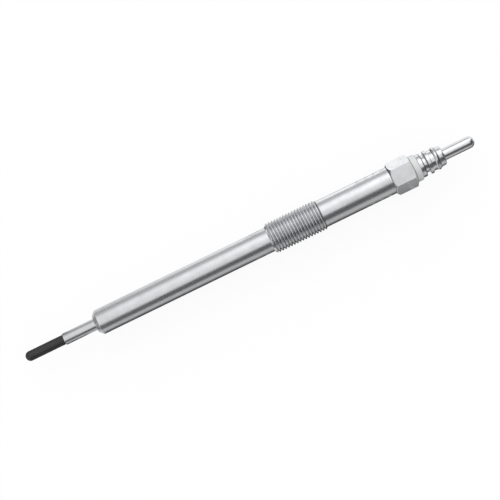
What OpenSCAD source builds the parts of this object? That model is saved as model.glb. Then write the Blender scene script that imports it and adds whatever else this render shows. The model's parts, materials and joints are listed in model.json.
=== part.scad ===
// Ceramic glow plug for a diesel engine, lying on its side.
// The plug's axis is X: the heater rod points to -X and the connector pin to +X.
// X = 0 is the front face of the body's nose, where the sealing cone starts. Millimetres.

/* [Heater rod] */
// Diameter of the ceramic heater rod
rod_d = 3.2; // [2.8:0.05:3.6]
// Length of rod that stands out of the support tube
rod_reach = 13.35; // [8:0.05:20]
// Length of rod behind the support tube, inside the body
rod_tail = 6; // [3:0.5:10]

/* [Support tube] */
// Wall of the support tube
tube_wall = 0.27; // [0.2:0.01:0.5]
// Length of tube that stands out of the body's nose
tube_reach = 10.9; // [6:0.05:16]
// Length of tube held in the body's nose
tube_grip = 18; // [12:0.5:30]
// Edge break on the tube's front end
tube_break = 0.12; // [0.05:0.01:0.2]

/* [Body] */
// Diameter of the flat face at the body's nose
nose_face_d = 5.5; // [4.8:0.1:6.5]
// Included angle of the sealing cone
seat_angle = 93; // [60:1:120]
// Diameter of the shank between the cone and the thread
shank_d = 8.1; // [7.4:0.05:8.7]
// Length from the nose face to the thread
shank_len = 60.35; // [45:0.05:80]
// Major diameter of the thread
thread_d = 10; // [9:0.5:12]
// Length of the thread with both of its tapers
thread_len = 18; // [10:0.5:24]
// Length of the taper that leads into the thread
thread_lead = 0.8; // [0.4:0.1:1.5]
// Length of the taper where the thread runs out
thread_runout = 0.45; // [0.2:0.05:1]
// Diameter of the neck between the thread and the hexagon
neck_d = 8.9; // [8:0.1:9.3]
// Length of the neck
neck_len = 24.15; // [10:0.05:40]

/* [Hexagon] */
// Width across the flats
hex_af = 9.5; // [9.5:0.5:12]
// Length of the hexagon with both of its domed ends
hex_len = 7.75; // [6:0.25:12]
// Radius of the dome that turns the hexagon's corners off at the neck
hex_front_dome_r = 7.6; // [7:0.1:14]
// Radius of the dome that turns the hexagon's corners off at the washer
hex_rear_dome_r = 9.3; // [7:0.1:14]
// Diameter of the flat ring on the rear face
hex_face_d = 8.6; // [8:0.1:9.3]

/* [Bore] */
// Diameter of the main bore
bore_d = 5.2; // [4.8:0.1:5.6]
// Diameter of the counterbore in the hexagon
mouth_d = 6.6; // [6:0.1:7.2]
// Depth of the counterbore
mouth_depth = 7; // [4:0.5:9]

/* [Contact stack] */
// Length of the graphite contact tablet
tablet_len = 2.5; // [1.5:0.25:4]
// Length of the stud's tip that enters the contact sleeve
stud_tip_len = 6; // [3:0.5:10]
// Length of the stud's collar
collar_len = 2; // [1:0.25:4]
// Air gap between the collar and the bore, on each side
collar_air = 0.4; // [0.25:0.05:0.6]
// Diameter of the stud behind its collar
stud_d = 3.2; // [2.8:0.1:3.6]
// Length of stud held in the terminal cap
stud_grip = 7; // [4:0.25:7.5]
// Edge break on the stud's ends
stud_break = 0.3; // [0.1:0.05:0.5]
// Length of the ceramic spacer ring
spacer_len = 3; // [2:0.25:5]
// Length of the clamp ring
clamp_len = 4; // [2:0.25:6]
// Air gap between the clamp ring and the stud, on each side
clamp_air = 0.5; // [0.3:0.05:0.6]

/* [Insulating washer] */
// Diameter of the washer's flange
washer_d = 8.65; // [7.8:0.05:9.2]
// Thickness of the washer's flange
washer_t = 1.9; // [1:0.05:3]
// Edge break on the flange, at the connector's side
washer_break = 0.3; // [0.05:0.05:0.5]

/* [Terminal cap] */
// Diameter of the two latch rings
latch_d = 7.65; // [7:0.05:8.4]
// Width of the ring that seats on the washer
base_ring_w = 1.55; // [0.8:0.05:2]
// Width of the latch groove at its bottom
groove_w = 0.95; // [0.6:0.05:1.5]
// Diameter at the bottom of the latch groove
groove_d = 5.7; // [5:0.1:6.4]
// Slope of the outer latch ring's flank at the groove, from square
flank_slope = 19; // [10:1:30]
// Slope of the outer latch ring's flank at the waist, from square
waist_slope = 45; // [10:1:60]
// Width of the outer latch ring at its top
outer_ring_w = 0.8; // [0.6:0.05:1.5]
// Edge break on the latch rings
latch_break = 0.18; // [0.05:0.01:0.25]
// Diameter of the waist between the outer latch ring and the bead
waist_d = 6.72; // [6.2:0.02:7]
// Diameter over the bead
bead_d = 7.38; // [7.1:0.02:7.8]
// Radius of the bead's section
bead_r = 1; // [0.6:0.05:1.4]
// Distance of the bead's top from the cap's base
bead_at = 5.9; // [5.2:0.05:6.5]
// Diameter of the nose at its end, before rounding
cap_end_d = 6.25; // [5:0.05:6.6]
// Rounding of the nose's end
cap_round = 0.7; // [0.1:0.05:0.9]
// Length of the cap from its base to the pin
cap_len = 8.6; // [8:0.05:11]

/* [Connector pin] */
// Diameter of the connector pin
pin_d = 3.8; // [3:0.1:5]
// Length of the connector pin with its round end
pin_len = 10.7; // [6:0.1:16]

/* [Fits] */
// Radial gap for the braze between rod and tube
braze_gap = 0.03; // [0.01:0.01:0.05]
// Radial gap of the pressed joints
press_gap = 0.01; // [0.005:0.005:0.03]
// Radial gap of the pieces that drop into place
slip_gap = 0.05; // [0.02:0.01:0.1]
// Gap between the end of the stud and the end of its hole in the cap
stud_end_gap = 0.3; // [0.1:0.05:0.6]

/* [Hidden] */
$fn = 96;
// How far a cut runs past the face that it opens
overcut = 1;

tube_bore_d = rod_d + 2 * braze_gap;
tube_d = tube_bore_d + 2 * tube_wall;
nose_bore_d = tube_d + 2 * press_gap;
cone_len = (shank_d - nose_face_d) / 2 / tan(seat_angle / 2);

// Stations along the axis
rod_tip_x = -tube_reach - rod_reach;
rod_end_x = tube_grip + rod_tail;
thread_x = shank_len;
neck_x = thread_x + thread_len;
hex_x = neck_x + neck_len;
body_end_x = hex_x + hex_len;
mouth_x = body_end_x - mouth_depth;
stud_x = rod_end_x + tablet_len;
collar_x = stud_x + stud_tip_len;
spacer_x = collar_x + collar_len;
clamp_x = spacer_x + spacer_len;
cap_x = body_end_x + washer_t;
pin_x = cap_x + cap_len;

// Sizes that follow from what a piece fits into
stack_d = bore_d - 2 * slip_gap;
sleeve_bore_d = rod_d + 2 * slip_gap;
collar_d = bore_d - 2 * collar_air;
ring_bore_d = stud_d + 2 * slip_gap;
seal_d = (mouth_d - stud_d) / 2 - 2 * slip_gap;
seal_mid_d = (mouth_d + stud_d) / 2;
washer_spigot_d = mouth_d - 2 * slip_gap;
stud_hole_d = stud_d + 2 * press_gap;

// Points of an arc about a centre, from one angle to another
function arc(centre, r, from, to, steps = 8) =
    [for (i = [0 : steps]) centre + r * [cos(from + (to - from) * i / steps), sin(from + (to - from) * i / steps)]];

// Turns an outline of [radius, distance along the axis] into a solid that starts at x
module turned(x, outline) {
    translate([x, 0, 0])
        rotate([0, 90, 0])
            rotate_extrude()
                polygon(outline);
}

// A plain ring or, with no hole, a plain disc
module ring(x, len, d, hole_d = 0) {
    turned(x, [[hole_d / 2, 0], [d / 2, 0], [d / 2, len], [hole_d / 2, len]]);
}

// Round bar along X with a ball end that reaches to tip_x
module ball_ended_bar(x, tip_x, d) {
    r = d / 2;
    straight = abs(tip_x - x) - r;
    translate([x, 0, 0])
        rotate([0, tip_x > x ? 90 : -90, 0])
            rotate_extrude()
                intersection() {
                    union() {
                        square([r, straight]);
                        translate([0, straight])
                            circle(r);
                    }
                    square([r, straight + r]);
                }
}

// Hexagon with one flat down, its corners turned off by a dome at each end
module hexagon() {
    front_dome = sqrt(pow(hex_front_dome_r, 2) - pow(neck_d / 2, 2));
    rear_dome = hex_len - sqrt(pow(hex_rear_dome_r, 2) - pow(hex_face_d / 2, 2));
    translate([hex_x, 0, 0])
        rotate([0, 90, 0])
            intersection() {
                translate([0, 0, -overcut])
                    rotate(30)
                        cylinder(r = hex_af / sqrt(3), h = overcut + hex_len, $fn = 6);
                rotate_extrude()
                    intersection() {
                        translate([0, front_dome])
                            circle(hex_front_dome_r);
                        translate([0, rear_dome])
                            circle(hex_rear_dome_r);
                        translate([0, -overcut])
                            square([hex_front_dome_r, overcut + hex_len]);
                    }
            }
}

module housing() {
    core_x = hex_x + hex_len / 2;
    color("silver")
        difference() {
            union() {
                turned(0, [[0, 0], [nose_face_d / 2, 0], [shank_d / 2, cone_len], [shank_d / 2, thread_x],
                    [thread_d / 2, thread_x + thread_lead], [thread_d / 2, neck_x - thread_runout],
                    [neck_d / 2, neck_x], [neck_d / 2, core_x], [0, core_x]]);
                hexagon();
            }
            turned(0, [[0, -overcut], [nose_bore_d / 2, -overcut], [nose_bore_d / 2, tube_grip],
                [bore_d / 2, tube_grip], [bore_d / 2, mouth_x], [mouth_d / 2, mouth_x],
                [mouth_d / 2, body_end_x + overcut], [0, body_end_x + overcut]]);
        }
}

module support_tube() {
    len = tube_reach + tube_grip;
    color("lightgray")
        turned(-tube_reach, [[tube_bore_d / 2, 0], [tube_d / 2 - tube_break, 0], [tube_d / 2, tube_break],
            [tube_d / 2, len], [tube_bore_d / 2, len]]);
}

module heater_rod() {
    color("dimgray")
        ball_ended_bar(rod_end_x, rod_tip_x, rod_d);
}

module contact_tablet() {
    color("black")
        ring(rod_end_x, tablet_len, rod_d);
}

module contact_sleeve() {
    color("ivory")
        ring(tube_grip, collar_x - tube_grip, stack_d, sleeve_bore_d);
}

module terminal_stud() {
    tip_r = rod_d / 2;
    shaft_r = stud_d / 2;
    end_x = cap_x + stud_grip;
    color("gray")
        turned(0, [[0, stud_x], [tip_r - stud_break, stud_x], [tip_r, stud_x + stud_break], [tip_r, collar_x],
            [collar_d / 2, collar_x], [collar_d / 2, spacer_x], [shaft_r, spacer_x],
            [shaft_r, end_x - stud_break], [shaft_r - stud_break, end_x], [0, end_x]]);
}

module spacer_ring() {
    color("ivory")
        ring(spacer_x, spacer_len, stack_d, ring_bore_d);
}

module clamp_ring() {
    color("gray")
        ring(clamp_x, clamp_len, bore_d - 2 * press_gap, stud_d + 2 * clamp_air);
}

module seal_ring() {
    color("darkslategray")
        translate([mouth_x + seal_d / 2, 0, 0])
            rotate([0, 90, 0])
                rotate_extrude()
                    translate([seal_mid_d / 2, 0])
                        circle(d = seal_d);
}

module insulating_washer() {
    flange_r = washer_d / 2;
    spigot_len = mouth_depth - seal_d;
    color("gainsboro")
        turned(body_end_x, [[ring_bore_d / 2, -spigot_len], [washer_spigot_d / 2, -spigot_len],
            [washer_spigot_d / 2, 0], [flange_r, 0], [flange_r, washer_t - washer_break],
            [flange_r - washer_break, washer_t], [ring_bore_d / 2, washer_t]]);
}

// Outline of the cap from its base to the pin, without the bead
function cap_outline() =
    let (
        latch_r = latch_d / 2,
        waist_r = waist_d / 2,
        groove_r = groove_d / 2,
        groove_z = base_ring_w + groove_w,
        ring_z = groove_z + (latch_r - groove_r) * tan(flank_slope),
        ring_end_z = ring_z + outer_ring_w,
        waist_z = ring_end_z + (latch_r - waist_r) * tan(waist_slope),
        taper = (cap_end_d / 2 - waist_r) / (cap_len - bead_at),
        lean = atan(-taper),
        round_z = cap_len - cap_round,
        round_r = waist_r + taper * (round_z - bead_at) - cap_round / cos(lean)
    )
    concat(
        [[0, 0], [latch_r - latch_break, 0], [latch_r, latch_break], [latch_r, base_ring_w - latch_break],
            [latch_r - latch_break, base_ring_w], [groove_r, base_ring_w], [groove_r, groove_z],
            [latch_r, ring_z], [latch_r, ring_end_z], [waist_r, waist_z], [waist_r, bead_at]],
        arc([round_r, round_z], cap_round, lean, 90),
        [[0, cap_len]]
    );

module terminal_cap() {
    color("whitesmoke")
        difference() {
            union() {
                turned(cap_x, cap_outline());
                translate([cap_x + bead_at, 0, 0])
                    rotate([0, 90, 0])
                        rotate_extrude()
                            translate([bead_d / 2 - bead_r, 0])
                                circle(bead_r);
                ball_ended_bar(pin_x - overcut, pin_x + pin_len, pin_d);
            }
            ring(cap_x - overcut, overcut + stud_grip + stud_end_gap, stud_hole_d);
        }
}

housing();
support_tube();
heater_rod();
contact_tablet();
contact_sleeve();
terminal_stud();
spacer_ring();
clamp_ring();
seal_ring();
insulating_washer();
terminal_cap();
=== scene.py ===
import json
import math

import bmesh
import bpy
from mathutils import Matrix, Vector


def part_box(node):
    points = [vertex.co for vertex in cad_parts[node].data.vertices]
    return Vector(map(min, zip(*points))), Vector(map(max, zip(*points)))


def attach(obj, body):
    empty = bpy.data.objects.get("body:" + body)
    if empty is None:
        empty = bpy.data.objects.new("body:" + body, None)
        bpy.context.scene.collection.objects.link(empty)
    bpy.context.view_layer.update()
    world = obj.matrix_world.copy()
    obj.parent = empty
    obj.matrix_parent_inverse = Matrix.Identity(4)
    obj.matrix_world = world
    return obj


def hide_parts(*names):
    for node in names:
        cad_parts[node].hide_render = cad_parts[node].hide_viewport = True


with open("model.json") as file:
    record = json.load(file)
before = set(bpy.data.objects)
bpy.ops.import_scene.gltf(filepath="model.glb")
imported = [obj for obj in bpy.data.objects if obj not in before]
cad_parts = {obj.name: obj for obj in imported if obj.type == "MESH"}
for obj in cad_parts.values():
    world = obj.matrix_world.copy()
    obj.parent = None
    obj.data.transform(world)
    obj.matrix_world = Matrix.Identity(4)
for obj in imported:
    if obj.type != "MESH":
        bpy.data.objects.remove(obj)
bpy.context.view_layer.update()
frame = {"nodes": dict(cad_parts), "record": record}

mm = 0.001
mounts = {m["name"]: m for m in frame["record"]["mounts"]}
print("frame loaded:", len(frame["nodes"]), "nodes")


# where the pieces lie along the plug, read from the frame, in millimetres
def ends(node):
    low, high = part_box(node)
    return low.x / mm, high.x / mm


def reach(node):
    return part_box(node)[1].z / mm


tipX, rodEndX = ends("heater_rod")
tubeFrontX, tubeEndX = ends("support_tube")
noseX, bodyEndX = ends("housing")
capX, pinEndX = ends("terminal_cap")
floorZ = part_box("housing")[0].z / mm
rodR = reach("heater_rod")
tubeR = reach("support_tube")
washerR = reach("insulating_washer")
threadLen = mounts["thread"]["dims"]["length_mm"]
threadR = mounts["thread"]["dims"]["r_mm"]
threadMidX = mounts["thread"]["pos_m"][0] / mm
hexFlat = -mounts["hex_flat"]["pos_m"][2] / mm
pinR = mounts["connector_pin"]["dims"]["r_mm"]


# camera, straight above the plug, with the connector towards the upper right
shot = {
    "lens": 110,            # mm, on Blender's 36 mm sensor
    "turn": -25.98,         # degrees about the vertical
    "frameWidth": 156.25,   # mm of the plug's axis that fill the picture's width
    "aimX": 53.806,         # point on the axis that is seen at aimPixel
    "aimPixel": (250.58, 248.66),
    "pictureSize": 500,
    "clip": (0.01, 20),     # metres
}


def makeCamera():
    data = bpy.data.cameras.new("camera")
    data.lens = shot["lens"]
    data.clip_start, data.clip_end = shot["clip"]
    camera = bpy.data.objects.new("camera", data)
    bpy.context.scene.collection.objects.link(camera)
    turn = math.radians(shot["turn"])
    right = (math.cos(turn), math.sin(turn))
    up = (-math.sin(turn), math.cos(turn))
    mmPerPixel = shot["frameWidth"] / shot["pictureSize"]
    offRight = (shot["aimPixel"][0] - shot["pictureSize"] / 2) * mmPerPixel
    offUp = (shot["pictureSize"] / 2 - shot["aimPixel"][1]) * mmPerPixel
    x = shot["aimX"] - offRight * right[0] - offUp * up[0]
    y = -offRight * right[1] - offUp * up[1]
    height = shot["frameWidth"] * shot["lens"] / data.sensor_width
    camera.location = (x * mm, y * mm, height * mm)
    camera.rotation_euler = (0, 0, turn)
    bpy.context.scene.camera = camera


makeCamera()
bpy.context.scene.view_settings.view_transform = "Standard"
print("camera placed")


# small helpers for node trees
def addNode(tree, kind, **settings):
    node = tree.nodes.new(kind)
    for name, value in settings.items():
        setattr(node, name, value)
    return node


def feed(tree, node, **inputs):
    # sets or links inputs, which go by their name, or by their number as n0, n1 and so on
    for name, value in inputs.items():
        socket = node.inputs[int(name[1:])] if name[0] == "n" and name[1:].isdigit() else node.inputs[name]
        if hasattr(value, "is_output"):
            tree.links.new(value, socket)
        else:
            socket.default_value = value
    return node


def calc(tree, operation, a, b=0.0):
    return feed(tree, addNode(tree, "ShaderNodeMath", operation=operation), n0=a, n1=b).outputs[0]


def ramp(tree, value, stops):
    node = addNode(tree, "ShaderNodeValToRGB")
    while len(node.color_ramp.elements) < len(stops):
        node.color_ramp.elements.new(0.5)
    for element, (place, grey) in zip(node.color_ramp.elements, stops):
        element.position = place
        element.color = (grey, grey, grey, 1)
    tree.links.new(value, node.inputs["Fac"])
    return node.outputs["Color"]


# lights: a white world, a soft sun from +Y, a pale floor, and cards that only polished metal sees
stageSet = {
    "floorSize": 6.0,        # metres
    "floorGrey": 0.93,
    "floorLift": 0.9,        # share of the floor that is lit for the eye, the rest takes shadow
    "worldLevel": 0.82,
    "sunLevel": 0.45,        # on a face square to the sun
    "sunFromTop": 65,        # degrees from straight up, towards +Y
    "sunSoftness": 50,       # degrees
    "tentRadius": 0.6,       # metres
    "tentLength": 2.4,
    "tentTurn": 25,          # degrees, the tent doesn't stand quite along the plug
    "tentX": 0.02,           # metres along X where it is turned about
    # brightness of the tent by angle from straight up, towards -Y if negative and +Y if positive
    "tentStops": [(-90, 0.55), (-74, 0.55), (-66, 0.13), (-28.5, 0.1), (-21.5, 0.82), (0, 0.94), (12, 1.04),
                  (30, 1.17), (45, 1.12), (55, 0.99), (66, 0.66), (78, 0.5), (90, 0.5)],
    # brighter towards the connector, most of all here
    "tentGlow": [(-90, 0.0), (0, 0.0), (12, 0.5), (18, 0.9), (30, 1.0), (55, 1.1), (66, 1.0), (78, 0.5), (90, 0.4)],
    "glowSlope": 1.9,        # per metre along X
    "glowRange": (-0.3, 0.35),
    # the tent goes dark this far to +X, in metres from tentX, where it isn't this far to +Y
    "tentFade": (0.3, 0.42),
    "fadeSide": (0.3, 0.1),
    "tentDark": 0.1,
    "tentLeast": 0.1,        # no part of it is darker
    "tentSteps": 64,
    # strips just above the floor: from, to in mm along X and along Y, brightness, and more of it per metre along X
    "strips": [
        (-10, 1200, 26, 600, 0.52, 0), (-10, 102, 14, 24, 0.66, 7.2),
        (102, 112.5, 14, 16, 1.05, 0), (102, 112.5, 16, 24, 1.48, 0),       # by the hexagon
        (-10, 112.5, 9, 14, 0.86, 4.6), (-10, 55, 4, 9, 0.69, 3.3),
        (55, 82, 4, 9, 0.65, 0), (82, 112.5, 4, 9, 0.36, 3.3),              # by the thread and the neck
        (112.5, 300, 9, 26, 1.2, 0), (112.5, 300, 3, 9, 0.72, 0),           # by the connector
        (-1200, -10, 2, 600, 0.3, 0), (-1200, -4.5, -3, -13, 0.06, 0),
        (-4.5, 0.5, -3, -4.6, 0.06, 0), (-4.5, 0.5, -4.6, -13, 0.7, 0),     # by the cone, towards -Y
        (0.5, 112, -3, -13, 0.06, 0),
        (112, 121, -2.5, -4.5, 1.2, 0), (112, 121, -4.5, -13, 0.06, 0),     # by the connector, towards -Y
        (121, 1200, -3, -13, 0.06, 0), (-30, 300, -13, -23, 0.2, 1), (-1200, 1200, -23, -600, 0.55, 0),
    ],
    "stripLift": 0.1,        # mm above the floor
    # low fins across the plug, seen only in what faces its ends:
    # from, to and step in mm along X, from and to along Y, height, brightness towards the connector and away from it
    "fins": [
        (55, 61, 3, 5, 26, 3, 0.06, 0.06), (62, 82, 4, 5, 26, 3, 0.2, 0.45),            # by the thread
        (93, 103, 3, 5.5, 26, 6, 0.06, 0.95), (109, 116, 3, 5, 26, 3, 0.06, 0.95),      # hexagon and connector
        (-7, 0, 3, -5, -16, 4, 0.75, 0.75),                                             # cone, towards -Y
        (55, 61, 3, -5, -16, 4, 0.75, 0.75), (63, 82, 4, -8, -18, 4, 0.42, 0.42),       # thread, towards -Y
        (95, 102, 3, -5, -16, 4, 0.75, 0.75), (109, 128, 4, -5, -16, 4, 0.75, 0.75),    # hexagon and connector
    ],
    "finGap": 0.05,          # mm between the two sides
    "finLean": 0.0034,       # they lean as the camera sees them, per mm from the picture's middle
    # cards at the ends: which end, from and to along Y in metres, and brightness
    "endCards": [(-1, 0, 0.6, 0.1), (-1, -0.6, 0, 0.85), (1, -0.6, 0.6, 0.1)],
}


def seenByEye(tree):
    # one for what the camera sees, directly or in a reflection, and nothing for soft light
    path = addNode(tree, "ShaderNodeLightPath")
    eye = calc(tree, "MAXIMUM", path.outputs["Is Camera Ray"], path.outputs["Is Glossy Ray"])
    return calc(tree, "MAXIMUM", eye, path.outputs["Is Transmission Ray"])


def plainTree(name):
    material = bpy.data.materials.new(name)
    material.use_nodes = True
    tree = material.node_tree
    tree.nodes.clear()
    return material, tree, addNode(tree, "ShaderNodeOutputMaterial")


def makeWorld():
    world = bpy.data.worlds.new("studio")
    bpy.context.scene.world = world
    world.use_nodes = True
    tree = world.node_tree
    background = tree.nodes["Background"]
    background.inputs["Color"].default_value = (1, 1, 1, 1)
    lift = calc(tree, "MULTIPLY", seenByEye(tree), 1 - stageSet["worldLevel"])
    feed(tree, background, Strength=calc(tree, "ADD", lift, stageSet["worldLevel"]))


def makeSun():
    data = bpy.data.lights.new("softSun", "SUN")
    data.energy = math.pi * stageSet["sunLevel"]
    data.angle = math.radians(stageSet["sunSoftness"])
    sun = bpy.data.objects.new("softSun", data)
    sun.rotation_euler = (-math.radians(stageSet["sunFromTop"]), 0, 0)
    sun.visible_glossy = False
    bpy.context.scene.collection.objects.link(sun)


def makeFloor():
    half = stageSet["floorSize"] / 2
    mesh = bpy.data.meshes.new("floor")
    corners = [(-half, -half), (half, -half), (half, half), (-half, half)]
    mesh.from_pydata([(x, y, floorZ * mm) for x, y in corners], [], [(0, 1, 2, 3)])
    floor = bpy.data.objects.new("floor", mesh)
    bpy.context.scene.collection.objects.link(floor)
    material, tree, output = plainTree("palePaper")
    grey = stageSet["floorGrey"] * (1 - stageSet["floorLift"])
    light = stageSet["worldLevel"] + stageSet["sunLevel"] * math.cos(math.radians(stageSet["sunFromTop"]))
    paper = feed(tree, addNode(tree, "ShaderNodeBsdfDiffuse"), Color=(grey, grey, grey, 1))
    glow = addNode(tree, "ShaderNodeEmission")
    feed(tree, glow, Strength=calc(tree, "MULTIPLY", seenByEye(tree), 1 - grey * light))
    both = feed(tree, addNode(tree, "ShaderNodeAddShader"), n0=paper.outputs[0], n1=glow.outputs[0])
    tree.links.new(both.outputs[0], output.inputs["Surface"])
    mesh.materials.append(material)


def glossyOnly(piece):
    piece.visible_camera = False
    piece.visible_diffuse = False
    piece.visible_shadow = False
    piece.visible_transmission = False


def glowingPatch(name, quads, level, slope=0):
    mesh = bpy.data.meshes.new(name)
    verts = [corner for quad in quads for corner in quad]
    mesh.from_pydata(verts, [], [(4 * i, 4 * i + 1, 4 * i + 2, 4 * i + 3) for i in range(len(quads))])
    patch = bpy.data.objects.new(name, mesh)
    bpy.context.scene.collection.objects.link(patch)
    material, tree, output = plainTree(name)
    glow = feed(tree, addNode(tree, "ShaderNodeEmission"), Strength=level)
    if slope:
        place = addNode(tree, "ShaderNodeTexCoord").outputs["Object"]
        axes = feed(tree, addNode(tree, "ShaderNodeSeparateXYZ"), Vector=place)
        feed(tree, glow, Strength=calc(tree, "ADD", calc(tree, "MULTIPLY", axes.outputs["X"], slope), level))
    tree.links.new(glow.outputs[0], output.inputs["Surface"])
    mesh.materials.append(material)
    glossyOnly(patch)


def makeTent():
    stops = stageSet["tentStops"]
    radius, half = stageSet["tentRadius"], stageSet["tentLength"] / 2
    first, last = stops[0][0], stops[-1][0]
    steps = stageSet["tentSteps"]
    verts, faces = [], []
    for i in range(steps + 1):
        a = math.radians(first + (last - first) * i / steps)
        for x in (-half, half):
            verts.append((x, radius * math.sin(a), radius * math.cos(a)))
        if i:
            faces.append((2 * i - 2, 2 * i - 1, 2 * i + 1, 2 * i))
    mesh = bpy.data.meshes.new("lightTent")
    mesh.from_pydata(verts, [], faces)
    tent = bpy.data.objects.new("lightTent", mesh)
    bpy.context.scene.collection.objects.link(tent)
    material, tree, output = plainTree("tentCloth")
    place = addNode(tree, "ShaderNodeTexCoord").outputs["Object"]
    axes = feed(tree, addNode(tree, "ShaderNodeSeparateXYZ"), Vector=place)
    angle = calc(tree, "ARCTAN2", axes.outputs["Y"], axes.outputs["Z"])
    share = calc(tree, "DIVIDE", calc(tree, "SUBTRACT", angle, math.radians(first)), math.radians(last - first))
    top = max(level for _, level in stops)
    cloth = ramp(tree, share, [((a - first) / (last - first), level / top) for a, level in stops])
    glowing = ramp(tree, share, [((a - first) / (last - first), level) for a, level in stageSet["tentGlow"]])
    turn = math.radians(stageSet["tentTurn"])
    alongX = calc(tree, "SUBTRACT", calc(tree, "MULTIPLY", axes.outputs["X"], math.cos(turn)),
                  calc(tree, "MULTIPLY", axes.outputs["Y"], math.sin(turn)))
    rise = calc(tree, "MULTIPLY", alongX, stageSet["glowSlope"])
    least, most = stageSet["glowRange"]
    rise = calc(tree, "MINIMUM", calc(tree, "MAXIMUM", rise, least), most)
    more = calc(tree, "ADD", calc(tree, "MULTIPLY", rise, glowing), 1.0)
    alongY = calc(tree, "ADD", calc(tree, "MULTIPLY", axes.outputs["X"], math.sin(turn)),
                  calc(tree, "MULTIPLY", axes.outputs["Y"], math.cos(turn)))
    fade = addNode(tree, "ShaderNodeMapRange")
    feed(tree, fade, Value=alongX, n1=stageSet["tentFade"][0], n2=stageSet["tentFade"][1])
    side = addNode(tree, "ShaderNodeMapRange")
    feed(tree, side, Value=alongY, n1=stageSet["fadeSide"][0], n2=stageSet["fadeSide"][1])
    dim = calc(tree, "MULTIPLY", calc(tree, "MULTIPLY", fade.outputs[0], side.outputs[0]), 1 - stageSet["tentDark"])
    more = calc(tree, "MULTIPLY", more, calc(tree, "SUBTRACT", 1.0, dim))
    level = calc(tree, "MULTIPLY", cloth, calc(tree, "MULTIPLY", more, top))
    glow = addNode(tree, "ShaderNodeEmission")
    feed(tree, glow, Strength=calc(tree, "MAXIMUM", level, stageSet["tentLeast"]))
    tree.links.new(glow.outputs[0], output.inputs["Surface"])
    mesh.materials.append(material)
    tent.location.x = stageSet["tentX"]
    tent.rotation_euler.z = math.radians(stageSet["tentTurn"])
    glossyOnly(tent)


def makeCards():
    low = floorZ * mm
    z = low + stageSet["stripLift"] * mm
    for i, (x0, x1, y0, y1, level, slope) in enumerate(stageSet["strips"]):
        corners = [(x0 * mm, y0 * mm, z), (x1 * mm, y0 * mm, z), (x1 * mm, y1 * mm, z), (x0 * mm, y1 * mm, z)]
        glowingPatch("strip" + str(i), [corners], level, slope)
    for i, (x0, x1, step, y0, y1, height, level, back) in enumerate(stageSet["fins"]):
        for name, shine, gap in (("fins", level, 0), ("finBacks", back, stageSet["finGap"])):
            quads = []
            for x in range(x0, x1, step):
                lean = stageSet["finLean"] * (x - shot["aimX"]) * height
                foot, head, top = (x - gap) * mm, (x - gap - lean) * mm, low + height * mm
                quads.append([(foot, y0 * mm, low), (foot, y1 * mm, low), (head, y1 * mm, top), (head, y0 * mm, top)])
            glowingPatch(name + str(i), quads, shine)
    high = stageSet["tentRadius"]
    for i, (end, y0, y1, level) in enumerate(stageSet["endCards"]):
        x = end * stageSet["tentLength"] / 2
        glowingPatch("endCard" + str(i), [[(x, y0, low), (x, y1, low), (x, y1, high), (x, y0, high)]], level)


makeWorld()
makeSun()
makeFloor()
makeTent()
makeCards()
print("stage lit")


# meshes: every visible piece is turned about the X axis from an outline of (x, radius) in millimetres
turning = {
    "steps": 144,                         # round the axis, a whole number for each hexagon side
    "cornerTrims": (-0.66, -0.33, 0.33, 0.66),  # degrees, extra steps beside each hexagon corner
    "holdRow": 0.03,                      # mm from the ends of a straight stretch
    "holdFrom": 6,                        # times holdRow, shorter stretches get no extra rows
    "roundSteps": 6,
    "roundShare": 0.8,                    # of a stretch that a rounding may take
    "straightFrom": 89,                   # degrees, half the angle of a corner too flat to round
    "domeSteps": 24,
    "sharpAngle": 35,                     # degrees
    "weldWithin": 2e-7,                   # metres
    "thinnest": 1e-7,
}


def turnAngles():
    angles = {360 * i / turning["steps"] for i in range(turning["steps"])}
    for corner in range(0, 360, 60):
        angles |= {(corner + trim) % 360 for trim in turning["cornerTrims"]}
    return [math.radians(a) for a in sorted(angles)]


angles = turnAngles()


def rounded(outline):
    # rounds the inner corners of an outline that carry a radius as a third number
    steps, share = turning["roundSteps"], turning["roundShare"]
    points = [p if len(p) == 3 else (p[0], p[1], 0) for p in outline]
    result = [points[0][:2]]
    for before, here, after in zip(points, points[1:], points[2:]):
        ax, ay = before[0] - here[0], before[1] - here[1]
        bx, by = after[0] - here[0], after[1] - here[1]
        la, lb = math.hypot(ax, ay), math.hypot(bx, by)
        cosine = max(-1, min(1, (ax * bx + ay * by) / (la * lb)))
        half = math.acos(cosine) / 2
        if here[2] <= 0 or half > math.radians(turning["straightFrom"]):
            result.append(here[:2])
            continue
        cut = min(here[2] / math.tan(half), share * la, share * lb)
        r = cut * math.tan(half)
        middle = math.hypot(cut, r)
        mx, my = ax / la + bx / lb, ay / la + by / lb
        ml = math.hypot(mx, my)
        cx, cy = here[0] + mx / ml * middle, here[1] + my / ml * middle
        start = math.atan2(here[1] + ay / la * cut - cy, here[0] + ax / la * cut - cx)
        stop = math.atan2(here[1] + by / lb * cut - cy, here[0] + bx / lb * cut - cx)
        sweep = (stop - start + math.pi) % (2 * math.pi) - math.pi
        for i in range(steps + 1):
            a = start + sweep * i / steps
            result.append((cx + r * math.cos(a), cy + r * math.sin(a)))
    result.append(points[-1][:2])
    return result


def arc(centreX, centreR, radius, fromDeg, toDeg, steps):
    points = []
    for i in range(steps + 1):
        a = math.radians(fromDeg + (toDeg - fromDeg) * i / steps)
        points.append((centreX + radius * math.cos(a), centreR + radius * math.sin(a)))
    return points


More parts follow.
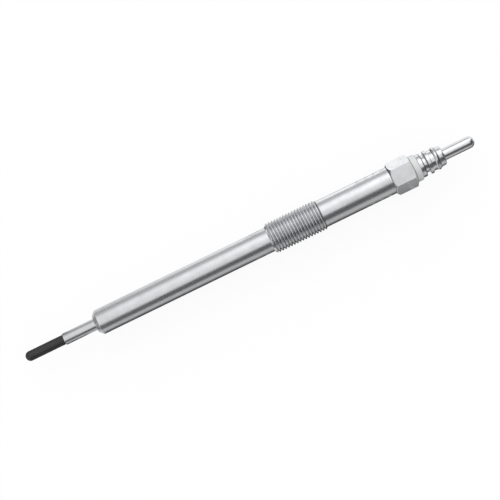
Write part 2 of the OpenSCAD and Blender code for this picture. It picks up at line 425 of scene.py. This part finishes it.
def ringRows(outline):
    # extra rows beside the ends of each straight stretch keep its shading straight
    beside = turning["holdRow"]
    held = [outline[0]]
    for (x0, r0), (x1, r1) in zip(outline, outline[1:]):
        length = math.hypot(x1 - x0, r1 - r0)
        if length > turning["holdFrom"] * beside:
            stepX, stepR = (x1 - x0) * beside / length, (r1 - r0) * beside / length
            held += [(x0 + stepX, r0 + stepR), (x1 - stepX, r1 - stepR)]
        held.append((x1, r1))
    return [[(x, r, a) for a in angles] for x, r in held]


class Skin:
    # collects rows of (x, radius, angle) and joins them into one closed mesh
    def __init__(self):
        self.verts, self.faces = [], []

    def add(self, rows, closed=True):
        start, width = len(self.verts), len(rows[0])
        for row in rows:
            for x, r, a in row:
                self.verts.append((x * mm, r * math.cos(a) * mm, r * math.sin(a) * mm))
        for i in range(len(rows) - 1):
            for k in range(width if closed else width - 1):
                n = (k + 1) % width
                low, high = start + i * width, start + (i + 1) * width
                self.faces.append((low + k, low + n, high + n, high + k))

    def build(self, name, node, material):
        mesh = bpy.data.meshes.new(name)
        mesh.from_pydata(self.verts, [], self.faces)
        work = bmesh.new()
        work.from_mesh(mesh)
        bmesh.ops.remove_doubles(work, verts=work.verts, dist=turning["weldWithin"])
        bmesh.ops.dissolve_degenerate(work, edges=work.edges, dist=turning["thinnest"])
        bmesh.ops.recalc_face_normals(work, faces=work.faces)
        for face in work.faces:
            face.smooth = True
        for edge in work.edges:
            if len(edge.link_faces) == 2 and edge.calc_face_angle() > math.radians(turning["sharpAngle"]):
                edge.smooth = False
        work.to_mesh(mesh)
        work.free()
        piece = bpy.data.objects.new(name, mesh)
        bpy.context.scene.collection.objects.link(piece)
        mesh.materials.append(material)
        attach(piece, "root")
        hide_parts(node)
        print("made", name, len(mesh.polygons), "faces")


# finishes
grainSet = {
    "noiseMiddle": (0.3, 0.7),      # where most of a noise lies
    "ringAcross": 0.15,             # lathe rings hardly change round the piece
    "metalSpread": 0.03,            # of the roughness, up and down
    "powderSpread": 0.05,
    # soft edge of the painted shade bands
    "stainEdge": 0.06,              # mm
    # detail and roughness of the noises
    "metalCloud": (4.0, 0.6), "metalGrain": (2.0, 0.6), "powderCloud": (3.0, 0.55), "powderGrain": (2.0, 0.7),
    "lines": (2.0, 0.5),
}


def millimetres(tree):
    place = addNode(tree, "ShaderNodeTexCoord").outputs["Object"]
    scaled = addNode(tree, "ShaderNodeVectorMath", operation="SCALE")
    feed(tree, scaled, Vector=place, Scale=1 / mm)
    return scaled.outputs["Vector"]


def stretched(tree, vector, x, y, z):
    node = addNode(tree, "ShaderNodeVectorMath", operation="MULTIPLY")
    feed(tree, node, n0=vector, n1=(x, y, z))
    return node.outputs["Vector"]


def noise(tree, vector, scale, detail, rough):
    node = addNode(tree, "ShaderNodeTexNoise")
    feed(tree, node, Vector=vector, Scale=scale, Detail=detail, Roughness=rough)
    return node.outputs["Fac"]


def span(tree, value, low, high):
    node = addNode(tree, "ShaderNodeMapRange")
    tree.links.new(value, node.inputs["Value"])
    node.inputs["From Min"].default_value, node.inputs["From Max"].default_value = grainSet["noiseMiddle"]
    node.inputs["To Min"].default_value, node.inputs["To Max"].default_value = low, high
    return node.outputs["Result"]


def blendColours(tree, fac, one, two):
    node = addNode(tree, "ShaderNodeMix", data_type="RGBA")
    tree.links.new(fac, node.inputs["Factor"])
    for name, colour in (("A", one), ("B", two)):
        socket = [s for s in node.inputs if s.name == name and s.type == "RGBA"][0]
        if hasattr(colour, "is_output"):
            tree.links.new(colour, socket)
        else:
            socket.default_value = tuple(colour) + (1,)
    return [s for s in node.outputs if s.type == "RGBA"][0]


def bump(tree, height, depth, normal=None):
    node = addNode(tree, "ShaderNodeBump")
    feed(tree, node, Height=height, Distance=depth * mm, Strength=1.0)
    if normal:
        tree.links.new(normal, node.inputs["Normal"])
    return node.outputs["Normal"]


def finishTree(name, metallic):
    material, tree, output = plainTree(name)
    shader = addNode(tree, "ShaderNodeBsdfPrincipled")
    shader.inputs["Metallic"].default_value = metallic
    tree.links.new(shader.outputs[0], output.inputs["Surface"])
    return material, tree, shader


def turnedMetal(name, look, shade=None):
    # fine rings from the lathe, cloudy plating and a few faint handling marks
    material, tree, shader = finishTree(name, 1.0)
    place = millimetres(tree)
    across, spread = grainSet["ringAcross"], grainSet["metalSpread"]
    rings = noise(tree, stretched(tree, place, look["rings"], across, across), 1.0, *grainSet["lines"])
    cloud = noise(tree, place, look["cloud"], *grainSet["metalCloud"])
    grain = noise(tree, place, look["grain"], *grainSet["metalGrain"])
    colour = blendColours(tree, span(tree, cloud, 0.0, 1.0), look["dull"], look["bright"])
    rough = calc(tree, "ADD", span(tree, cloud, look["rough"] + spread, look["rough"] - spread),
                 span(tree, grain, -spread, spread))
    # painted shade: where a shade mask is given, it darkens the colour towards the shade colour and adds roughness
    # there
    if shade:
        dark = shade(tree, place)
        colour = blendColours(tree, dark, colour, look["stain"])
        rough = calc(tree, "ADD", rough, calc(tree, "MULTIPLY", dark, look["stainRough"]))
    tree.links.new(colour, shader.inputs["Base Color"])
    tree.links.new(rough, shader.inputs["Roughness"])
    lines = bump(tree, rings, look["ringDepth"])
    tree.links.new(bump(tree, grain, look["grainDepth"], lines), shader.inputs["Normal"])
    return material


def outFromAxis(tree, place):
    # distance from the plug's axis
    axes = feed(tree, addNode(tree, "ShaderNodeSeparateXYZ"), Vector=place)
    squares = [calc(tree, "POWER", axes.outputs[name], 2.0) for name in "YZ"]
    return axes.outputs["X"], calc(tree, "SQRT", calc(tree, "ADD", *squares))


def between(tree, value, low, high, edge):
    # one inside the range, nothing outside it
    up = addNode(tree, "ShaderNodeMapRange")
    feed(tree, up, Value=value, n1=low - edge, n2=low + edge)
    down = addNode(tree, "ShaderNodeMapRange")
    feed(tree, down, Value=value, n1=high + edge, n2=high - edge)
    return calc(tree, "MULTIPLY", up.outputs["Result"], down.outputs["Result"])


def pressedPowder(name, look):
    # sintered or moulded pieces: speckle, soft patches and a dry grain
    material, tree, shader = finishTree(name, 0.0)
    place = millimetres(tree)
    cloud = noise(tree, place, look["cloud"], *grainSet["powderCloud"])
    grain = noise(tree, place, look["grain"], *grainSet["powderGrain"])
    across = look["acrossScale"]
    drawn = noise(tree, stretched(tree, place, look["alongScale"], across, across), 1.0, *grainSet["lines"])
    base = blendColours(tree, span(tree, cloud, 0.0, 1.0), look["dark"], look["light"])
    colour = blendColours(tree, span(tree, grain, 0.0, look["speckle"]), base, look["fleck"])
    tree.links.new(colour, shader.inputs["Base Color"])
    spread = grainSet["powderSpread"]
    tree.links.new(span(tree, grain, look["rough"] - spread, look["rough"] + spread), shader.inputs["Roughness"])
    shader.inputs["Specular IOR Level"].default_value = look["gloss"]
    lines = bump(tree, drawn, look["lineDepth"])
    tree.links.new(bump(tree, grain, look["grainDepth"], lines), shader.inputs["Normal"])
    return material


# pieces: their sizes are in mm and degrees, and what is called edge, break or round is a radius
# heater rod, a ground ceramic bar with a round tip
rod = {
    "tailBreak": 0.2,
    "look": {"cloud": 0.5, "grain": 9.0, "alongScale": 7.0, "acrossScale": 0.3, "rough": 0.4, "gloss": 0.5,
             "dark": (0.015, 0.015, 0.016), "light": (0.021, 0.021, 0.022), "fleck": (0.04, 0.04, 0.041),
             "speckle": 0.35, "lineDepth": 0.002, "grainDepth": 0.002},
}


def makeRod():
    skin = Skin()
    outline = arc(tipX + rodR, 0, rodR, 180, 90, turning["domeSteps"])
    outline += rounded([outline[-1], (rodEndX, rodR, rod["tailBreak"]), (rodEndX, 0)])[1:]
    skin.add(ringRows(outline))
    skin.build("heaterRod", "heater_rod", pressedPowder("groundCeramic", rod["look"]))


# support tube round the rod
tube = {
    "bore": 3.26, "frontBreak": 0.14, "edge": 0.04,
    "look": {"rings": 12.0, "cloud": 0.5, "grain": 8.0, "rough": 0.27, "ringDepth": 0.001, "grainDepth": 0.0006,
             "dull": (0.651, 0.658, 0.674), "bright": (0.73, 0.738, 0.756)},
}


def makeTube():
    inner, edge = tube["bore"] / 2, tube["edge"]
    outline = [(tubeEndX, inner), (tubeFrontX, inner, edge), (tubeFrontX, tubeR, tube["frontBreak"]),
               (tubeEndX, tubeR, edge), (tubeEndX, inner)]
    skin = Skin()
    skin.add(ringRows(rounded(outline)))
    skin.build("supportTube", "support_tube", turnedMetal("drawnTube", tube["look"]))


# body: cone, shank, thread, neck and hexagon, with its bore
body = {
    "noseFace": 5.5, "seatAngle": 93, "shank": 8.1, "neck": 8.9,
    "boreEdge": 0.03, "noseEdge": 0.1, "coneEdge": 0.12,
    "threadLead": 0.8, "threadRunout": 0.45, "pitch": 1.0, "root": 8.774, "crestAtPlusY": 61.4,
    # thread's flank: share of the pitch from the crest, and share of the depth
    "flank": [(0, 0), (0.04, 0.005), (0.08, 0.022), (0.12, 0.05), (0.16, 0.095), (0.19, 0.143), (0.217, 0.205),
              (0.34, 0.56), (0.46, 0.91), (0.5, 1)],
    "hexLen": 7.75, "hexFace": 8.6, "hexFront": 7.6, "hexRear": 9.3, "hexEdge": 0.08, "hexSoft": 0.02,
    # rows of the hexagon: shares of its domes, mm beside their edges, and shares of the flats
    "domeShares": (0, 0.3, 0.6), "besideEdge": (-0.08, -0.03, -0.012, 0, 0.012, 0.03, 0.08),
    "flatShares": (0.25, 0.5, 0.75),
    "noseBore": 3.82, "bore": 5.2, "mouth": 6.6, "mouthDepth": 7,
    # the look's dark colour is painted shade, laid between the thread's turns and on the lines by the hexagon
    "look": {"rings": 9.0, "cloud": 0.35, "grain": 6.0, "rough": 0.27, "ringDepth": 0.0012, "grainDepth": 0.0006,
             "dull": (0.671, 0.68, 0.697), "bright": (0.75, 0.76, 0.779),
             "stain": (0.16, 0.163, 0.168), "stainRough": 0.1},
    # painted shade between the turns: room before and after the thread, its edge, start below the crest, and how dark
    "rootStain": (0.3, 0.4, 0.15, 0.2, 0.1),
    # painted shade lines where the thread ends, in front of the hexagon and behind it: from and to in mm, and how
    # dark
    "runoutStain": (-0.4, 0, 0.7), "cornerStain": (-0.02, 0.18, 0.8), "rearStain": (-0.25, 0, 0.5),
}
threadStartX = threadMidX - threadLen / 2 - body["threadLead"]
threadStopX = threadMidX + threadLen / 2 + body["threadRunout"]
hexX = bodyEndX - body["hexLen"]


def bodyPaintedShade(tree, place):
    # painted shade: darker between the thread's turns, where the thread runs out and at both ends of the hexagon
    x, r = outFromAxis(tree, place)
    before, after, edge, below, amount = body["rootStain"]
    start = threadMidX - threadLen / 2
    inThread = between(tree, x, start - before, start + threadLen + after, edge)
    depth = addNode(tree, "ShaderNodeMapRange")
    feed(tree, depth, Value=r, n1=threadR - below, n2=body["root"] / 2, n3=0.0, n4=amount)
    total = calc(tree, "MULTIPLY", inThread, depth.outputs["Result"])
    for fromX, name in ((threadStopX, "runoutStain"), (hexX, "cornerStain"), (bodyEndX, "rearStain")):
        low, high, amount = body[name]
        inLine = between(tree, x, fromX + low, fromX + high, grainSet["stainEdge"])
        total = calc(tree, "MAXIMUM", calc(tree, "MULTIPLY", inLine, amount), total)
    return total


def bodyFront():
    shankR, faceR = body["shank"] / 2, body["noseFace"] / 2
    coneLen = (shankR - faceR) / math.tan(math.radians(body["seatAngle"] / 2))
    return [(noseX, body["noseBore"] / 2, body["boreEdge"]), (noseX, faceR, body["noseEdge"]),
            (noseX + coneLen, shankR, body["coneEdge"]), (threadStartX, shankR)]


def threadRows():
    # rows follow the helix, so that crests and roots are clean lines
    pitch, rootR = body["pitch"], body["root"] / 2
    shankR, neckR = body["shank"] / 2, body["neck"] / 2
    startX, stopX = threadStartX, threadStopX
    depth = threadR - rootR
    one = body["flank"] + [(1 - s, d) for s, d in reversed(body["flank"][1:-1])]
    around = angles + [2 * math.pi]
    rows = []
    turnsBefore = math.ceil(body["crestAtPlusY"] - startX) + 1
    first = body["crestAtPlusY"] - turnsBefore * pitch
    count = math.ceil((stopX - first) / pitch) + 1
    for turn in range(count):
        for share, drop in one:
            u = first + (turn + share) * pitch
            row = []
            for a in around:
                x = min(max(u + pitch * a / (2 * math.pi), startX), stopX)
                lead = shankR + (threadR - shankR) * (x - startX) / body["threadLead"]
                runout = neckR + (threadR - neckR) * (stopX - x) / body["threadRunout"]
                rise = neckR - (neckR - rootR) * min(1, (stopX - x) / pitch)
                r = min(max(threadR - depth * drop, rise), lead, runout)
                row.append((x, r, a))
            rows.append(row)
    return rows


def hexRadius(a):
    # distance from the axis to the hexagon's flat, with a small round at each corner
    edge = body["hexEdge"]
    beside = (math.degrees(a) + 30) % 60 - 30              # from the nearest corner
    centre = (hexFlat - edge) / math.cos(math.radians(30))
    touch = math.degrees(math.atan2(edge * 0.5, centre + edge * math.cos(math.radians(30))))
    if abs(beside) < touch:
        off = math.radians(beside)
        return centre * math.cos(off) + math.sqrt(edge ** 2 - (centre * math.sin(off)) ** 2)
    return hexFlat / math.cos(math.radians(30 - abs(beside)))


def softLower(a, b, soft):
    # the lower of two radii, with a round where they cross
    gap = max(soft - abs(a - b), 0) / soft
    return min(a, b) - gap * gap * soft / 4


def hexRows():
    front, rear, soft = body["hexFront"], body["hexRear"], body["hexSoft"]
    neckR, faceR = body["neck"] / 2, body["hexFace"] / 2
    frontX = hexX + math.sqrt(front ** 2 - neckR ** 2)
    rearX = bodyEndX - math.sqrt(rear ** 2 - faceR ** 2)
    domeShares, beside, flatShares = body["domeShares"], body["besideEdge"], body["flatShares"]
    columns = []
    for a in angles:
        flat = hexRadius(a)
        frontCut = frontX - math.sqrt(front ** 2 - flat ** 2)
        rearCut = rearX + math.sqrt(rear ** 2 - flat ** 2)
        places = [hexX + (frontCut - hexX) * f for f in domeShares]
        places += [frontCut + off for off in beside]
        places += [frontCut + (rearCut - frontCut) * f for f in flatShares]
        places += [rearCut + off for off in beside]
        places += [bodyEndX + (rearCut - bodyEndX) * f for f in reversed(domeShares)]
        column = []
        for x in places:
            frontR = math.sqrt(max(front ** 2 - (frontX - x) ** 2, 0)) if x < frontX else front
            rearR = math.sqrt(max(rear ** 2 - (x - rearX) ** 2, 0)) if x > rearX else rear
            column.append((x, softLower(flat, min(frontR, rearR), soft), a))
        columns.append(column)
    return [list(row) for row in zip(*columns)]


def makeBody():
    neckR, mouthR, boreR, noseBoreR = [body[name] / 2 for name in ("neck", "mouth", "bore", "noseBore")]
    mouthX = bodyEndX - body["mouthDepth"]
    skin = Skin()
    skin.add(ringRows(rounded(bodyFront())))
    skin.add(threadRows(), closed=False)
    skin.add(ringRows([(threadStopX, neckR), (hexX, neckR)]))
    hexagon = hexRows()
    skin.add(hexagon)
    skin.add([[(hexX, neckR, a) for a in angles], hexagon[0]])
    skin.add([hexagon[-1], [(bodyEndX, mouthR, a) for a in angles]])
    skin.add(ringRows([(bodyEndX, mouthR), (mouthX, mouthR), (mouthX, boreR), (tubeEndX, boreR),
                       (tubeEndX, noseBoreR), (noseX, noseBoreR)]))
    skin.build("body", "housing", turnedMetal("platedSteel", body["look"], bodyPaintedShade))


# pale washer under the connector
washer = {
    "bore": 3.3, "spigot": 6.5, "rearBreak": 0.32, "frontBreak": 0.08,
    "boreEdge": 0.05, "spigotEdge": 0.1, "rootRound": 0.02,
    "look": {"cloud": 0.4, "grain": 7.0, "alongScale": 1.0, "acrossScale": 1.0, "rough": 0.5, "gloss": 0.4,
             "dark": (0.632, 0.641, 0.643), "light": (0.692, 0.702, 0.704), "fleck": (0.592, 0.601, 0.603),
             "speckle": 0.3, "lineDepth": 0.001, "grainDepth": 0.002},
}


def makeWasher():
    frontX, rearX = ends("insulating_washer")
    inner, spigot = washer["bore"] / 2, washer["spigot"] / 2
    outline = [(rearX, inner), (frontX, inner, washer["boreEdge"]), (frontX, spigot, washer["spigotEdge"]),
               (bodyEndX, spigot, washer["rootRound"]), (bodyEndX, washerR, washer["frontBreak"]),
               (rearX, washerR, washer["rearBreak"]), (rearX, inner)]
    skin = Skin()
    skin.add(ringRows(rounded(outline)))
    skin.build("washer", "insulating_washer", pressedPowder("paleWasher", washer["look"]))


# bright connector: two latch rings, bead, nose and pin
connector = {
    "latch": 7.65, "baseRing": 1.55, "grooveWidth": 0.95, "groove": 5.7, "flankSlope": 19, "waistSlope": 15,
    "outerRing": 1.0, "waist": 6.72, "bead": 7.38, "beadRound": 1.0, "beadAt": 5.9, "beadSteps": 20,
    "beadPast": 6,              # degrees that the bead goes on beyond the waist's level
    "noseStep": 0.05, "noseEnd": 6.25, "noseRound": 0.8, "length": 8.6, "pinRoot": 0.1,
    "baseEdge": 0.2, "farEdge": 0.32, "edge": 0.1, "rootRound": 0.08,
    "studHole": 3.22, "studHoleDepth": 7.3, "holeEdge": 0.05,
    # the look's dark colour is painted shade on the steep sides of the rings and the bead
    "look": {"rings": 11.0, "cloud": 0.5, "grain": 8.0, "rough": 0.2, "ringDepth": 0.0008, "grainDepth": 0.0005,
             "dull": (0.725, 0.733, 0.75), "bright": (0.803, 0.812, 0.831),
             "stain": (0.1, 0.1, 0.1), "stainRough": 0.1},
    # painted shade: from and to in mm from the connector's base, from which radius outwards, and how dark
    "tarnish": [(1.2, 1.65, 3.4, 0.75), (2.5, 2.84, 2.95, 0.45), (5.3, 5.85, 0, 0.32), (6.2, 6.7, 0, 0.55)],
}


def connectorPaintedShade(tree, place):
    # painted shade on the steep sides of the rings and the bead
    x, r = outFromAxis(tree, place)
    total = 0.0
    for low, high, fromR, amount in connector["tarnish"]:
        along = between(tree, x, capX + low, capX + high, grainSet["stainEdge"])
        patch = calc(tree, "MULTIPLY", along, calc(tree, "GREATER_THAN", r, fromR))
        total = calc(tree, "MAXIMUM", calc(tree, "MULTIPLY", patch, amount), total)
    return total


def makeConnector():
    shape = connector
    latchR, waistR, grooveR, noseR = [shape[name] / 2 for name in ("latch", "waist", "groove", "noseEnd")]
    baseX = capX + shape["baseRing"]
    grooveX = baseX + shape["grooveWidth"]
    ringX = grooveX + (latchR - grooveR) * math.tan(math.radians(shape["flankSlope"]))
    ringEndX = ringX + shape["outerRing"]
    waistX = ringEndX + (latchR - waistR) * math.tan(math.radians(shape["waistSlope"]))
    beadX, endX = capX + shape["beadAt"], capX + shape["length"]
    beadCentreR = shape["bead"] / 2 - shape["beadRound"]
    foot = math.degrees(math.asin((waistR - beadCentreR) / shape["beadRound"]))
    bead = arc(beadX, beadCentreR, shape["beadRound"], 180 - foot, foot - shape["beadPast"], shape["beadSteps"])
    holeR, holeX = shape["studHole"] / 2, capX + shape["studHoleDepth"]
    edge, root = shape["edge"], shape["rootRound"]
    lower = [(holeX, 0), (holeX, holeR), (capX, holeR, shape["holeEdge"]), (capX, latchR, shape["baseEdge"]),
             (baseX, latchR, shape["farEdge"]), (baseX, grooveR, root), (grooveX, grooveR, root),
             (ringX, latchR, edge), (ringEndX, latchR, edge), (waistX, waistR, root), bead[0]]
    noseFall = (waistR - noseR) / (shape["length"] - shape["beadAt"])
    step = shape["noseStep"]
    noseStartX = bead[-1][0] + step
    upper = [bead[-1], (noseStartX, waistR - noseFall * (noseStartX - beadX), step),
             (endX, noseR, shape["noseRound"]), (endX, pinR, shape["pinRoot"]), (pinEndX - pinR, pinR)]
    dome = arc(pinEndX - pinR, 0, pinR, 90, 0, turning["domeSteps"])
    skin = Skin()
    skin.add(ringRows(rounded(lower) + bead[1:-1] + rounded(upper) + dome[1:]))
    finish = turnedMetal("brightNickel", shape["look"], connectorPaintedShade)
    skin.build("connector", "terminal_cap", finish)


makeRod()
makeTube()
makeBody()
makeWasher()
makeConnector()


# the pieces inside keep their own solids and get a finish each
graphiteLook = {"cloud": 0.6, "grain": 10.0, "alongScale": 2.0, "acrossScale": 2.0, "rough": 0.6, "gloss": 0.5,
                "dark": (0.022, 0.022, 0.024), "light": (0.036, 0.036, 0.038), "fleck": (0.08, 0.08, 0.085),
                "speckle": 0.5, "lineDepth": 0.001, "grainDepth": 0.004}
creamLook = {"cloud": 0.4, "grain": 8.0, "alongScale": 1.0, "acrossScale": 1.0, "rough": 0.55, "gloss": 0.4,
             "dark": (0.76, 0.72, 0.64), "light": (0.84, 0.81, 0.74), "fleck": (0.7, 0.66, 0.58), "speckle": 0.4,
             "lineDepth": 0.001, "grainDepth": 0.003}
studLook = {"rings": 10.0, "cloud": 0.4, "grain": 6.0, "rough": 0.35, "ringDepth": 0.001, "grainDepth": 0.001,
            "dull": (0.52, 0.52, 0.52), "bright": (0.62, 0.62, 0.61)}
rubberLook = {"cloud": 0.5, "grain": 6.0, "alongScale": 1.0, "acrossScale": 1.0, "rough": 0.65, "gloss": 0.3,
              "dark": (0.02, 0.02, 0.02), "light": (0.035, 0.035, 0.035), "fleck": (0.05, 0.05, 0.05),
              "speckle": 0.3, "lineDepth": 0.001, "grainDepth": 0.003}
graphite = pressedPowder("pressedGraphite", graphiteLook)
cream = pressedPowder("creamCeramic", creamLook)
studSteel = turnedMetal("studSteel", studLook)
rubber = pressedPowder("sealRubber", rubberLook)
innerFinish = {"contact_tablet": graphite, "contact_sleeve": cream, "terminal_stud": studSteel, "seal_ring": rubber,
               "spacer_ring": cream, "clamp_ring": studSteel}
for node, material in innerFinish.items():
    frame["nodes"][node].data.materials.clear()
    frame["nodes"][node].data.materials.append(material)
print("inner pieces finished:", len(innerFinish))
